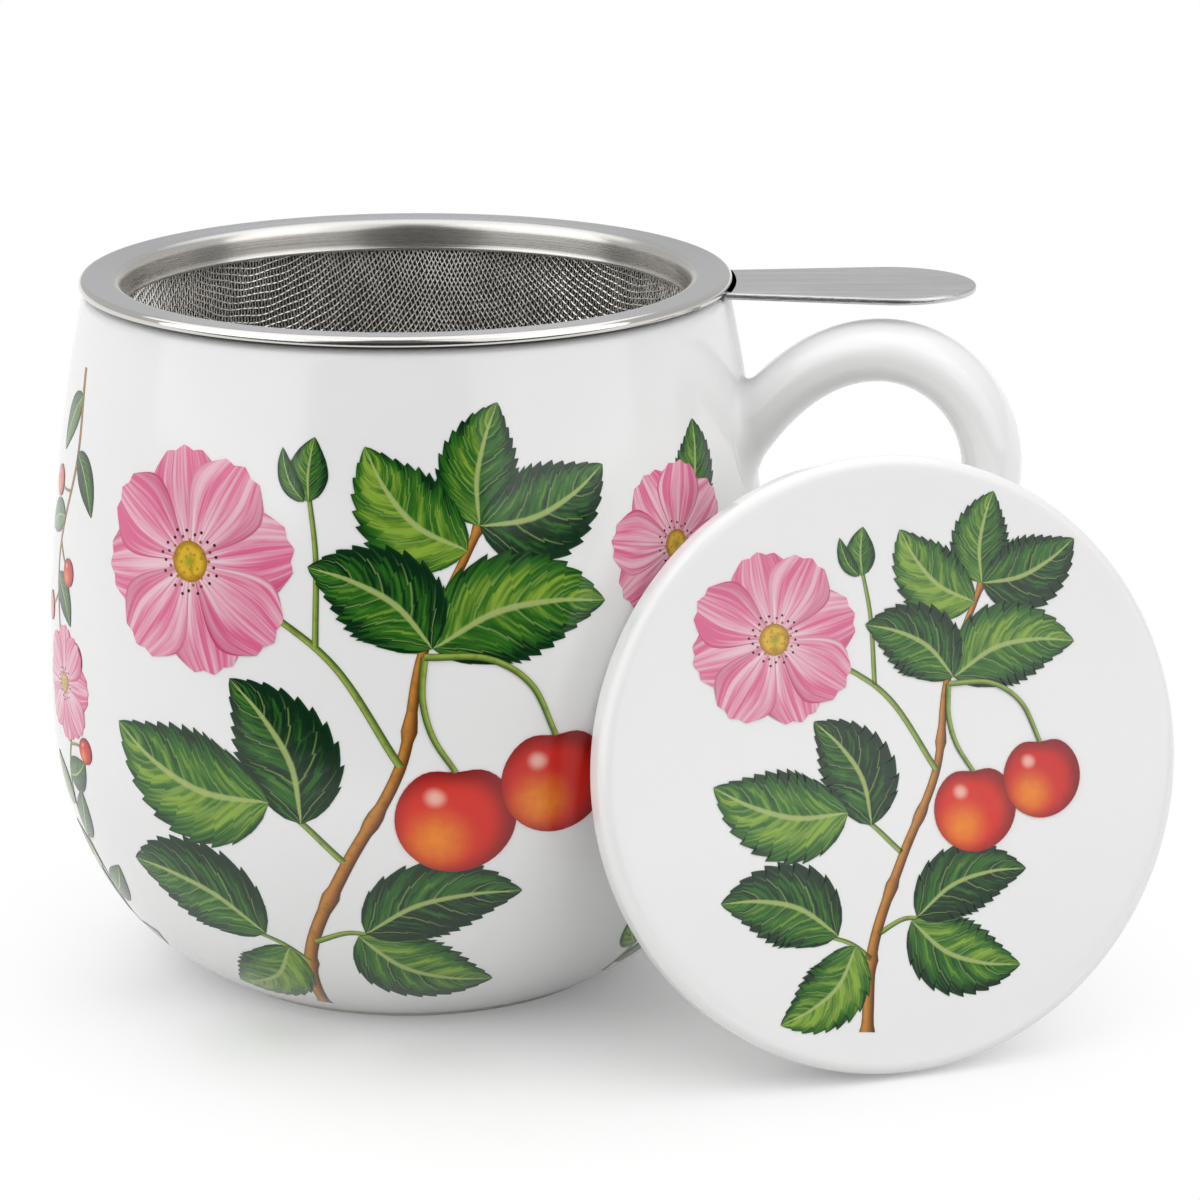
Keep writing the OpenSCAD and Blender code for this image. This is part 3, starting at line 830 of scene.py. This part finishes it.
slope_cos, slope_tan = np.cos(np.radians(flange_slope)), np.tan(np.radians(flange_slope))
bead_c = np.array([rim_r - bead_r, flange_z(rim_r - bead_r) + bead_r / 2])
collar_out_r = lip_c[0] - lip_r - collar_play
collar_mid_r = collar_out_r - sheet_t / 2
collar_in_r = collar_mid_r - sheet_t / 2
collar_end_z = mug_h - collar_h
under_r = collar_mid_r + collar_bend_r
under_z = flange_z(under_r) - collar_bend_r / slope_cos
bend_under = arc((under_r, under_z), collar_bend_r - sheet_t / 2, 180, 90 + flange_slope, 14)
over_r = collar_in_r + upper_bend_r
over_z = bead_c[1] + (over_r - bead_c[0]) * slope_tan + (bead_r - upper_bend_r) / slope_cos
bend_over = arc((over_r, over_z), upper_bend_r, 90 + flange_slope, 180, 24)
roll_c = np.array([collar_in_r - collar_roll_in + collar_roll_r, collar_end_z + collar_roll_r])
roll_from = np.degrees(np.arccos((collar_in_r - roll_c[0]) / collar_roll_r))
roll_to = 360 - np.degrees(np.arccos((collar_out_r - roll_c[0]) / collar_roll_r))
collar_roll = arc(roll_c, collar_roll_r, roll_from, roll_to, 20)
seam_a = flange_slope - 180 + np.degrees(np.arcsin((bead_r * slope_cos + sheet_t) / 2 / bead_r))
rolled_edge = arc(bead_c, bead_r, seam_a, 90 + flange_slope, 34)
rim_profile = np.concatenate([rolled_edge, bend_over, collar_roll, bend_under])
rim_rings = turned(evenly(rim_profile, step=0.0006), sides=256)
rim_steel = spun_steel(
    "spun rim steel", (0.64, 0.62, 0.59, 1), (0.76, 0.74, 0.705, 1), 0.28,
    satin=(collar_mid_r + 0.0002, rim_r - 0.4 * bead_r), painted_shade_below_z=bead_c[1] - 0.5 * bead_r
)
infuser_rim = make_piece(
    "spun_rim", rim_rings, quads_of(*rim_rings.shape[:2], close_rows=True), rim_steel, crease=50
)
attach(infuser_rim, "infuser")
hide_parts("infuser_rim")


# ---- Clamp band ----
# A band of stainless strip, rolled round the top of the mesh and pressed tight, so that it clamps the
# mesh to the outside of the collar.
mesh_t = 0.00045
band_t = 0.0004
band_h = 0.0019
band_in_r = collar_out_r + mesh_t
band_path = rounded([
    (band_in_r, collar_end_z + band_h / 2, 0), (band_in_r, collar_end_z, 0.00015),
    (band_in_r + band_t, collar_end_z, 0.00022), (band_in_r + band_t, collar_end_z + band_h, 0.00022),
    (band_in_r, collar_end_z + band_h, 0.00015), (band_in_r, collar_end_z + band_h / 2, 0),
])[:-1]
band_rings = turned(evenly(band_path, step=0.0006), sides=224)
band_steel = spun_steel("clamp band steel", (0.60, 0.60, 0.61, 1), (0.76, 0.76, 0.76, 1), 0.25)
clamp_band = make_piece(
    "clamp_band", band_rings, quads_of(*band_rings.shape[:2], close_rows=True), band_steel, crease=50
)
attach(clamp_band, "infuser")
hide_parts("infuser_clamp_band")


# ---- Mesh basket ----
# A disc of woven stainless wire, drawn into a bowl over a punch. Each wire goes over one and under the
# next. A much finer gauze lies just outside the wires and holds back the small leaves. Its near-black
# tint is painted shade, for the shaded inside of the mug seen between the wires. Both are clamped at the
# top between the collar and the band.
basket_low_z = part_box("infuser_mesh_basket")[0].z + mesh_t / 2
basket_taper = 0.0029
basket_bend_r = 0.015
basket_dome_r = 0.110
basket_straight = 0.001
band_over_mesh = 0.0001
wire_pitch = 0.00096
wire_r = 0.00015
wire_swing = 0.00011
wire_waver = 0.00013
weave_turn = 38
gauze_out = 0.00013
gauze_t = 0.00004
gauze_pitch_mm = 0.16
mesh_mid_r = collar_out_r + mesh_t / 2

dome_sin = (mesh_mid_r - basket_taper - basket_bend_r) / (basket_dome_r - basket_bend_r)
dome_a = np.degrees(np.arcsin(dome_sin))
dome_c = np.array([0, basket_low_z + basket_dome_r])
basket_bend_c = dome_c + (basket_dome_r - basket_bend_r) * toward(dome_a - 90)
mesh_top = np.array([mesh_mid_r, collar_end_z - basket_straight])
to_top = mesh_top - basket_bend_c
wall_a = np.degrees(np.arctan2(to_top[1], to_top[0]) - np.arccos(basket_bend_r / np.linalg.norm(to_top)))
bowl_path = evenly(np.concatenate([
    arc(dome_c, basket_dome_r, -90, dome_a - 90, 20),
    arc(basket_bend_c, basket_bend_r, dome_a - 90, wall_a, 26)[1:],
    [mesh_top, [mesh_mid_r, collar_end_z + band_h - band_over_mesh]],
]), 0.0012)
disc_r = lengths(bowl_path)[-1]


def on_bowl(flat, out):
    """Puts points of the flat disc on the bowl, and gives them and the normals there: a point keeps its
    direction from the middle, and its distance from the middle becomes the length along the bowl's
    profile. Out is along the normal."""
    run = np.hypot(flat[..., 0], flat[..., 1])
    way = flat / np.maximum(run, 1e-9)[..., None]
    r, z, out_r, out_z = (a[..., None] for a in along(bowl_path, run))
    normal = np.concatenate([way * out_r, out_z], axis=-1)
    return np.concatenate([way * r, z], axis=-1) + normal * out, normal


def woven_wires(name, swap, material):
    """One of the two sets of parallel wires, which run along i. A crossing is at (u, v) pitches in the flat
    disc. The wire is there one swing inside or outside the bowl, by turns, and the other set, whose i and
    j are swapped, is on the other side. Drawing the disc has pulled the crossings a little out of line, by
    wire_waver times sines of u and v. A four-sided ring stands round each crossing, and quads join it to
    the next one along the wire."""
    half = int(disc_r / wire_pitch)
    i, j = np.meshgrid(np.arange(-half, half + 1), np.arange(-half, half + 1), indexing="ij")
    u, v = (j, i) if swap else (i, j)
    waver = np.stack([np.sin(0.9 * u + 0.37 * v), np.sin(0.8 * v - 0.43 * u + 1)], axis=-1)
    c, s = toward(weave_turn)
    flat = (wire_pitch * np.stack([u, v], axis=-1) + wire_waver * waver) @ np.array([[c, s], [-s, c]])
    inside = np.hypot(flat[..., 0], flat[..., 1]) < disc_r
    over = np.where((i + j) % 2 == swap, wire_swing, -wire_swing)[..., None]
    centre, normal = on_bowl(flat, over)
    ahead = np.gradient(centre, axis=0)
    ahead /= np.linalg.norm(ahead, axis=-1, keepdims=True)
    side = np.cross(normal, ahead)
    angles = np.radians([0, 90, 180, 270])[:, None]
    ring = normal[..., None, :] * np.sin(angles) + side[..., None, :] * np.cos(angles)
    ring = centre[..., None, :] + wire_r * ring
    corner = np.arange(ring[..., 0].size).reshape(ring.shape[:3])
    joined = inside[:-1] & inside[1:]
    here, there = corner[:-1][joined], corner[1:][joined]
    quads = np.stack([here, np.roll(here, -1, axis=1), np.roll(there, -1, axis=1), there], axis=-1)
    used, quads = np.unique(quads.reshape(-1, 4), return_inverse=True)
    edge = np.zeros_like(inside[:1])
    before, after = np.concatenate([edge, inside[:-1]]), np.concatenate([inside[1:], edge])
    ends = np.concatenate([corner[inside & ~before & after][:, ::-1], corner[inside & before & ~after]])
    faces = [*quads.reshape(-1, 4), *np.searchsorted(used, ends)]
    return make_piece(name, ring.reshape(-1, 3)[used], faces, material, crease=180)


def wire_steel(name):
    """Drawn stainless wire: bright, a little uneven from the drawing, and greyer in patches."""
    material, shader, place = new_material(name)
    grain = noise(place, 3000.0, 1.0)
    tone = noise(place, 160.0, 2.0) * 0.6 + grain * 0.4
    feed(shader, {
        "Base Color": blend(between(tone, 0.35, 0.65), (0.74, 0.72, 0.685, 1), (0.95, 0.93, 0.895, 1)),
        "Roughness": between(grain, 0.3, 0.7, 0.18, 0.3), "Metallic": 1.0,
    })
    return material


def gauze_painted_dark(name):
    """Fine gauze: a weave of crossed threads, |sin(pi x / pitch)| each way on the disc's own flat
    coordinates in millimetres. Its brown-grey tint is painted near-black, as shade for the inside of the mug
    behind it, and lighter on the thread tops, as a painted sheen."""
    material, shader, place = new_material(name)
    x, y, _ = parts_of(node(place.tree, "UVMap", uv_map="UVMap"))
    threads = [abs((flat * (np.pi / gauze_pitch_mm)).math("SINE")) for flat in (x, y)]
    top = threads[0].math("MAXIMUM", threads[1])
    # Painted shade and sheen: near-black between the threads, for the shaded inside of the mug, and lighter
    # on the thread tops.
    feed(shader, {
        "Base Color": blend(top, (0.025, 0.021, 0.018, 1), (0.10, 0.09, 0.08, 1)),
        "Roughness": 0.5, "Metallic": 0.7, "Normal": bump(top, 0.6, 0.00003),
    })
    return material


warp_wires = woven_wires("basket_warp_wires", False, wire_steel("warp wire steel"))
weft_wires = woven_wires("basket_weft_wires", True, wire_steel("weft wire steel"))

# The gauze is a disc with its own thickness. Its middle ring is a hair wide while it goes on the bowl, so
# that each of its points has a direction, and is then drawn together to one point.
lanes = np.linspace(0, 2 * np.pi, 160, endpoint=False)
spokes = np.stack([np.cos(lanes), np.sin(lanes)], axis=1)
disc = np.linspace(0, 1, 90)[:, None, None] * spokes * disc_r
disc[0] += 1e-7 * spokes
outer_skin = on_bowl(disc, gauze_out + gauze_t / 2)[0]
inner_skin = on_bowl(disc[::-1], gauze_out - gauze_t / 2)[0]
outer_skin[0] = outer_skin[0].mean(axis=0)
inner_skin[-1] = inner_skin[-1].mean(axis=0)
gauze_points = np.concatenate([outer_skin, inner_skin])
gauze_faces = quads_of(*gauze_points.shape[:2])
gauze_flat = np.concatenate([disc, disc[::-1]]).reshape(-1, 2) / sheet_mm
gauze = make_piece(
    "basket_gauze", gauze_points, gauze_faces, gauze_painted_dark("fine gauze painted dark"), gauze_flat[gauze_faces], crease=60
)
for part in (warp_wires, weft_wires, gauze):
    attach(part, "infuser")
    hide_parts("infuser_mesh_basket")


# ---- Lifting tab ----
# A tongue cut from stainless sheet, a little wider at its round end, with its edges tumbled smooth and
# its faces brushed lengthwise. It is welded to the underside of the rolled edge.
tab_l = 0.032
tab_root_w = 0.008
tab_end_r = 0.011
tab_t = 0.0009
tab_turn = -2
tab_edge_r = 0.00032
tab_flat_in = 0.0008
tab_z = bead_c[1] - bead_r * 0.45
tab_root_r = rim_r - bead_r * 0.32
tab_end_x = rim_r + tab_l - tab_end_r
side_gap = np.array([tab_end_x - tab_root_r, tab_end_r - tab_root_w])
side_a = 90 + np.degrees(np.arcsin(side_gap[1] / np.linalg.norm(side_gap)))
root_a = np.degrees(np.arcsin(tab_root_w / tab_root_r))
tab_outline = evenly(np.concatenate([
    arc((0, 0), tab_root_r, root_a, -root_a, 15),
    arc((tab_end_x, 0), tab_end_r, -side_a, side_a, 60),
    [tab_root_r * toward(root_a)],
]), 0.0011)[:-1]


def inset(outline, by):
    """An outline moved inwards: each point goes by that much along the normal of its neighbours' chord."""
    chord = np.roll(outline, -1, axis=0) - np.roll(outline, 1, axis=0)
    chord /= np.linalg.norm(chord, axis=1, keepdims=True)
    return outline + by * np.stack([-chord[:, 1], chord[:, 0]], axis=1)


edge_turn = np.radians(np.linspace(0, 90, 5))
lower = [(tab_edge_r * (1 - np.sin(a)), -tab_t + tab_edge_r * (1 - np.cos(a))) for a in edge_turn]
upper = [(i, -tab_t - z) for i, z in lower[::-1]]
tab_layers = [(tab_flat_in, -tab_t), *lower, *upper, (tab_flat_in, 0)]
tab_grid = np.stack([
    np.column_stack([inset(tab_outline, i), np.full(len(tab_outline), tab_z + z)]) for i, z in tab_layers
])
rim_of_face = np.arange(len(tab_outline))
tab_faces = [
    *quads_of(*tab_grid.shape[:2]), rim_of_face[::-1], rim_of_face + len(tab_outline) * (len(tab_layers) - 1)
]


def brushed_steel(name, turn):
    """Stainless sheet brushed lengthwise: noise stretched along the sheet, which drives tint and gloss."""
    material, shader, place = new_material(name)
    sockets = {"Vector": place, "Rotation": (0, 0, np.radians(-turn)), "Scale": (60, 6000, 6000)}
    fine = noise(node(place.tree, "Mapping", sockets), 1.0, 4.0)
    tint = blend(between(fine, 0.3, 0.7), (0.53, 0.53, 0.54, 1), (0.70, 0.70, 0.71, 1))
    gloss = between(fine, 0.3, 0.7, 0.26, 0.4)
    feed(shader, {
        "Base Color": tint, "Roughness": gloss, "Normal": bump(fine, 0.3, 0.00001), "Metallic": 1.0,
    })
    return material


lifting_tab = make_piece(
    "lifting_tab", turn_about_z(tab_grid, tab_turn), tab_faces, brushed_steel("brushed tab steel", tab_turn),
    crease=50
)
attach(lifting_tab, "infuser")
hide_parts("infuser_tab")


# ---- Lid ----
# A flat porcelain plate with rounded edges, jiggered in one piece with the ring underneath that drops
# into the infuser's collar. Here it is off the mug, and stands on its edge leaning on the handle.
lid_inset = 0.0039
lid_t = 0.005
lid_edge_r = 0.0016
lid_under_r = 0.001
lid_ring_h = 0.005
lid_ring_w = 0.0032
lid_ring_edge_r = 0.0008
lid_ring_foot_r = 0.0006
lid_play = 0.0005
lid_turn = 18.8
lid_lean = 11.8
lid_r = rim_r - lid_inset
ring_out_r = collar_in_r - lid_play
ring_in_r = ring_out_r - lid_ring_w
lid_profile = evenly(rounded([
    (0, 0, 0), (ring_in_r, 0, lid_ring_edge_r), (ring_in_r, -lid_ring_h, lid_ring_edge_r),
    (ring_out_r, -lid_ring_h, lid_ring_edge_r), (ring_out_r, 0, lid_ring_foot_r),
    (lid_r, 0, lid_under_r), (lid_r, lid_t, lid_edge_r), (0, lid_t, 0),
], count=10), step=0.0015)


def stand_up(points):
    """Turns the lid's own frame, where it lies flat, to how it stands: tipped up to lean back, then
    turned about the upright."""
    tip = toward(90 - lid_lean)
    tipped = points @ np.array([[1, 0, 0], [0, tip[0], tip[1]], [0, -tip[1], tip[0]]])
    return turn_about_z(tipped, lid_turn)


lid_rings = stand_up(turned(lid_profile, sides=224))
lid_low, lid_high = (np.array(corner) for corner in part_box("lid"))
lid_shift = (lid_low + lid_high) / 2 - (lid_rings.min(axis=(0, 1)) + lid_rings.max(axis=(0, 1))) / 2
lid = make_piece("porcelain_lid", lid_rings + lid_shift, quads_of(*lid_rings.shape[:2]), glaze("lid glaze"))
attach(lid, "lid")
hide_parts("lid")


# ---- Printed design on the lid ----
# The same cherry branch from a smaller transfer sheet, laid on the lid's flat face and fired in. It keeps
# clear of the rounded edge, where a sheet would crease.
lid_print_scale = 0.765
lid_print_x = 1.5
lid_print_y = -33.0


def on_lid(sheet, lift):
    """Puts points of the sheet on the lid's face, with the sheet's y upwards on the standing lid."""
    flat = np.stack([sheet[..., 0] * sheet_mm, sheet[..., 1] * sheet_mm, lid_t + lift], axis=-1)
    return stand_up(flat) + lid_shift


lid_prints = placed(cherry_branch(), lid_print_x, lid_print_y, lid_print_scale)
fire("lid_print", lid_prints, on_lid, "lid")


# ---- Table ----
# A plain white table, which is also the backdrop. It keeps the soft shadows round the mug, and further away
# it is plain white. What it throws back is that of matt paper on a table, with a grey floor round it.
floor_size = 6.0
floor_middle = (0.02, -0.015, 0)
floor_white_from = 0.036
floor_white_to = 0.093
floor_lift = 0.16
table_edge = 0.35
table_edge_fade = 0.1
dark_from_y = -0.14
dark_to_y = -0.2
dark_floor = 0.03


def ray_is(tree, kind):
    """1 for a ray of that kind, such as Camera for one that comes straight from the camera."""
    return node(tree, "LightPath", output=f"Is {kind} Ray")


def is_mirrored(tree):
    """1 for a ray that comes by way of metal, glaze or glass."""
    return ray_is(tree, "Glossy").math("MAXIMUM", ray_is(tree, "Transmission"))


corner = floor_size / 2
floor_mesh = bpy.data.meshes.new("table")
floor_mesh.from_pydata(
    [(-corner, -corner, 0), (corner, -corner, 0), (corner, corner, 0), (-corner, corner, 0)],
    [], [(0, 1, 2, 3)],
)
table = bpy.data.objects.new("table", floor_mesh)
bpy.context.scene.collection.objects.link(table)

# The camera sees the white itself. So do metal, glaze and glass, but towards the camera they see it dark,
# as the studio behind the camera is, which gives the steel its dark lines.
floor_material, shader, place = new_material("white table")
tree = place.tree
mirrored = is_mirrored(tree)
seen = ray_is(tree, "Camera").math("MAXIMUM", mirrored)
off = node(tree, "VectorMath", {0: place, 1: floor_middle}, "Value", operation="DISTANCE")
grain = noise(place, 300.0, 3.0)
paper = blend(grain, (0.66, 0.66, 0.66, 1), (0.70, 0.70, 0.70, 1))
paper = blend(between(off, table_edge - table_edge_fade, table_edge), paper, (0.20, 0.20, 0.20, 1))
feed(shader, {
    "Base Color": blend(seen, paper, (0.96, 0.96, 0.96, 1)), "Roughness": 0.9, "Specular IOR Level": 0.0,
})
towards_camera = between(parts_of(place)[1], dark_from_y, dark_to_y) * mirrored
glow = between(towards_camera, 0.0, 1.0, 1.0, dark_floor)
white = node(tree, "Emission", {"Color": (1, 1, 1, 1), "Strength": glow})
plain = between(off, floor_white_from, floor_white_to).math("MAXIMUM", floor_lift) * seen
paper_and_white = node(tree, "MixShader", {0: plain, 1: Field(shader.outputs[0]), 2: white})
feed(tree.nodes["Material Output"], {"Surface": paper_and_white})
floor_mesh.materials.append(floor_material)


# ---- Light ----
# Three large, weak soft boxes: one overhead, a little behind the mug, and one on either side of the camera.
# Round them is an even grey surround. It is dark in a cone towards the camera, the more so near the
# horizon. Elsewhere near the horizon, metal and glaze show a white backdrop.
surround_light = 0.56
cone_way = (0.0, -0.88, 0.475)
cone_cosines = (0.72, 0.86)
cone_heights = (0.24, 0.12)
cone_losses = (0.74, 0.98)
backdrop_heights = (0.11, 0.02)

world = bpy.data.worlds.new("studio")
bpy.context.scene.world = world
world.use_nodes = True
tree = world.node_tree
way = node(tree, "TexCoord", output="Generated")
up = parts_of(way)[2]
cosine = node(tree, "VectorMath", {0: way, 1: cone_way}, "Value", operation="DOT_PRODUCT")
loss = between(cosine, *cone_cosines) * between(up, *cone_heights, *cone_losses)
backdrop = between(up, *backdrop_heights) * is_mirrored(tree)
surround = between(backdrop, 0.0, 1.0, surround_light, 1.0) * (1.0 - loss)
strength = surround.math("MAXIMUM", ray_is(tree, "Camera"))
feed(tree.nodes["Background"], {"Color": (1, 1, 1, 1), "Strength": strength})


def soft_box(name, place, size, power, aim=(0.02, -0.01, 0.045)):
    """A square area lamp that faces the mug."""
    lamp = bpy.data.lights.new(name, "AREA")
    lamp.shape = "SQUARE"
    lamp.size = size
    lamp.energy = power
    made = bpy.data.objects.new(name, lamp)
    made.location = place
    made.rotation_euler = (Vector(aim) - Vector(place)).to_track_quat("-Z", "Y").to_euler()
    bpy.context.scene.collection.objects.link(made)


soft_box("overhead box", (-0.05, 0.15, 0.95), 1.4, 4.7)
soft_box("left box", (-0.75, -0.45, 0.60), 1.25, 5.5)
soft_box("right box", (0.72, -0.52, 0.60), 1.25, 4.9)


# ---- Camera ----
# A long lens from a little above the rim, straight in front of the mug. Pitch is how far it looks down and
# yaw how far it is turned aside, in radians.
camera_place = (0.02754, -0.5, 0.19171)
camera_pitch = 0.278
camera_yaw = -0.004
camera_data = bpy.data.cameras.new("camera")
camera_data.lens = 115.4
camera_data.sensor_width = 36
camera_data.clip_end = 20
camera = bpy.data.objects.new("camera", camera_data)
camera.location = camera_place
sight = np.array([np.sin(camera_yaw), np.cos(camera_yaw), 0]) * np.cos(camera_pitch)
sight[2] = -np.sin(camera_pitch)
camera.rotation_euler = Vector(sight).to_track_quat("-Z", "Y").to_euler()
bpy.context.scene.collection.objects.link(camera)
bpy.context.scene.camera = camera
bpy.context.scene.view_settings.view_transform = "Standard"
